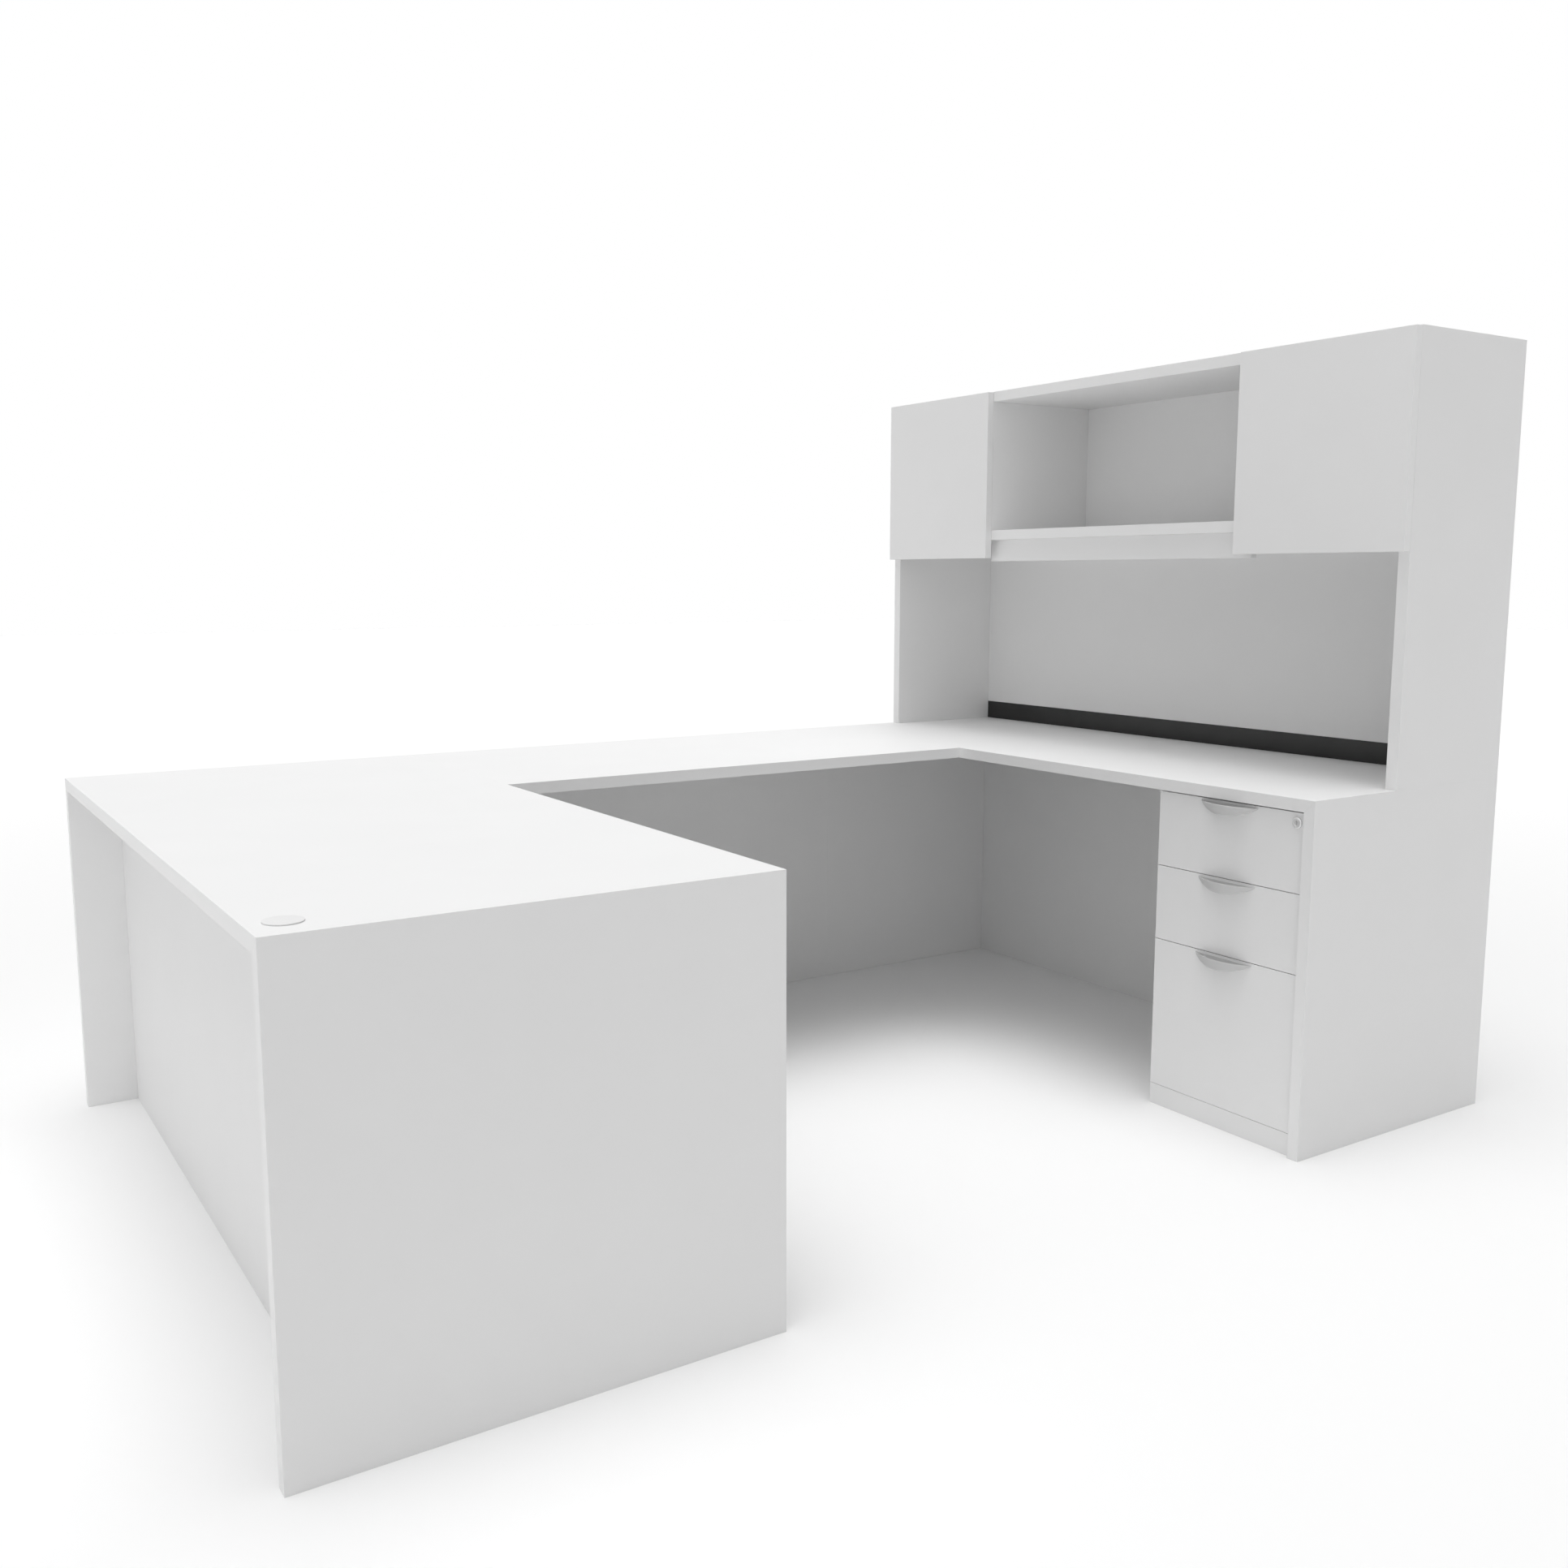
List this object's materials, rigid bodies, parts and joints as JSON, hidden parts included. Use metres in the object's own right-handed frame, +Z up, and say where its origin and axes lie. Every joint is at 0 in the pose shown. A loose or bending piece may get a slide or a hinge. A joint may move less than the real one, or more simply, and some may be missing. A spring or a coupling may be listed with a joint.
{
  "type": "u-shaped desk with hutch",
  "caption": "White laminate executive desk in a U: main desk, bridge, credenza with drawer pedestal, and a hutch with doors, an open bay and a black cable strip.",
  "frame": {"origin": "on the floor, at the centre of the whole desk's outline seen from above", "axes": "+Y from the visitor's edge of the main desk to the wall behind the hutch; +X towards the open side of the U, where the drawer pedestal stands; -X towards the bridge; +Z up"},
  "size_m": [1.6764, 2.5908, 1.6446],
  "materials": {
    "white_laminate": "white melamine laminate on particleboard, fine satin texture",
    "drawer_board": "white foil on thin board, satin",
    "zinc_steel": "bright zinc plated sheet steel",
    "lock_nickel": "satin nickel",
    "grey_plastic": "fine-grained light grey moulding",
    "white_plastic": "fine-grained white moulding",
    "black_plastic": "black extruded plastic, matt",
    "glide_plastic": "dark grey nylon",
    "beech": "plain beech dowel"
  },
  "bodies": {
    "casework": {"desk_top": "white_laminate", "desk_right_end": "white_laminate", "desk_left_end": "white_laminate", "desk_modesty": "white_laminate", "bridge_top": "white_laminate", "bridge_modesty": "white_laminate", "credenza_top": "white_laminate", "credenza_right_end": "white_laminate", "credenza_left_end": "white_laminate", "credenza_back": "white_laminate", "levelling_glides": "glide_plastic", "corner_brackets": "zinc_steel", "joining_plates": "zinc_steel", "fixing_screws": "zinc_steel", "hutch_dowels": "beech", "grommet_liner": "white_plastic", "pedestal_side": "white_laminate", "pedestal_bottom": "white_laminate", "pedestal_plinth": "white_laminate", "slide_cabinet_members": "zinc_steel", "lock_keeper": "zinc_steel", "hutch_right_side": "white_laminate", "hutch_left_side": "white_laminate", "hutch_top": "white_laminate", "hutch_shelf": "white_laminate", "hutch_dividers": "white_laminate", "hutch_valance": "white_laminate", "hutch_back": "white_laminate", "cable_strip": "black_plastic", "hinge_arms": "zinc_steel"},
    "grommet_lid": {"grommet_cap": "white_plastic"},
    "top_drawer": {"top_drawer_front": "white_laminate", "top_drawer_box": "drawer_board", "top_drawer_bottom": "drawer_board", "top_drawer_pull": "grey_plastic", "top_drawer_screws": "zinc_steel", "top_slide_drawer_members": "zinc_steel", "lock_housing": "lock_nickel"},
    "top_slides": {"top_slide_middle_members": "zinc_steel"},
    "middle_drawer": {"middle_drawer_front": "white_laminate", "middle_drawer_box": "drawer_board", "middle_drawer_bottom": "drawer_board", "middle_drawer_pull": "grey_plastic", "middle_drawer_screws": "zinc_steel", "middle_slide_drawer_members": "zinc_steel"},
    "middle_slides": {"middle_slide_middle_members": "zinc_steel"},
    "bottom_drawer": {"bottom_drawer_front": "white_laminate", "bottom_drawer_box": "drawer_board", "bottom_drawer_bottom": "drawer_board", "bottom_drawer_pull": "grey_plastic", "bottom_drawer_screws": "zinc_steel", "bottom_slide_drawer_members": "zinc_steel", "file_rails": "zinc_steel"},
    "bottom_slides": {"bottom_slide_middle_members": "zinc_steel"},
    "drawer_lock": {"lock_plug": "lock_nickel", "lock_cam": "zinc_steel"},
    "right_hutch_door": {"right_door": "white_laminate", "right_hinge_cups": "zinc_steel"},
    "left_hutch_door": {"left_door": "white_laminate", "left_hinge_cups": "zinc_steel"}
  },
  "joints": [
    {"name": "top_drawer_slide", "type": "slide", "parent": "casework", "child": "top_drawer", "axis": [0, -1, 0], "range_m": [0, 0.48]},
    {"name": "top_slides_travel", "type": "slide", "parent": "casework", "child": "top_slides", "axis": [0, -1, 0], "range_m": [0, 0.24]},
    {"name": "middle_drawer_slide", "type": "slide", "parent": "casework", "child": "middle_drawer", "axis": [0, -1, 0], "range_m": [0, 0.48]},
    {"name": "middle_slides_travel", "type": "slide", "parent": "casework", "child": "middle_slides", "axis": [0, -1, 0], "range_m": [0, 0.24]},
    {"name": "bottom_drawer_slide", "type": "slide", "parent": "casework", "child": "bottom_drawer", "axis": [0, -1, 0], "range_m": [0, 0.48]},
    {"name": "bottom_slides_travel", "type": "slide", "parent": "casework", "child": "bottom_slides", "axis": [0, -1, 0], "range_m": [0, 0.24]},
    {"name": "lock_turn", "type": "hinge", "parent": "top_drawer", "child": "drawer_lock", "pos_m": [0.7932, 0.6958, 0.681], "axis": [0, 1, 0], "range_deg": [0, 90]},
    {"name": "right_door_swing", "type": "hinge", "parent": "casework", "child": "right_hutch_door", "pos_m": [0.8382, 0.92025, 1.42582], "axis": [0, 0, 1], "range_deg": [0, 105]},
    {"name": "left_door_swing", "type": "hinge", "parent": "casework", "child": "left_hutch_door", "pos_m": [-0.8382, 0.92025, 1.42582], "axis": [0, 0, -1], "range_deg": [0, 105]},
    {"name": "grommet_cap_lift", "type": "slide", "parent": "casework", "child": "grommet_lid", "axis": [0, 0, 1], "range_m": [0, 0.025]}
  ],
  "couplings": [
    {"joint": "top_slides_travel", "follows": "top_drawer_slide", "ratio": 0.5},
    {"joint": "middle_slides_travel", "follows": "middle_drawer_slide", "ratio": 0.5},
    {"joint": "bottom_slides_travel", "follows": "bottom_drawer_slide", "ratio": 0.5}
  ]
}
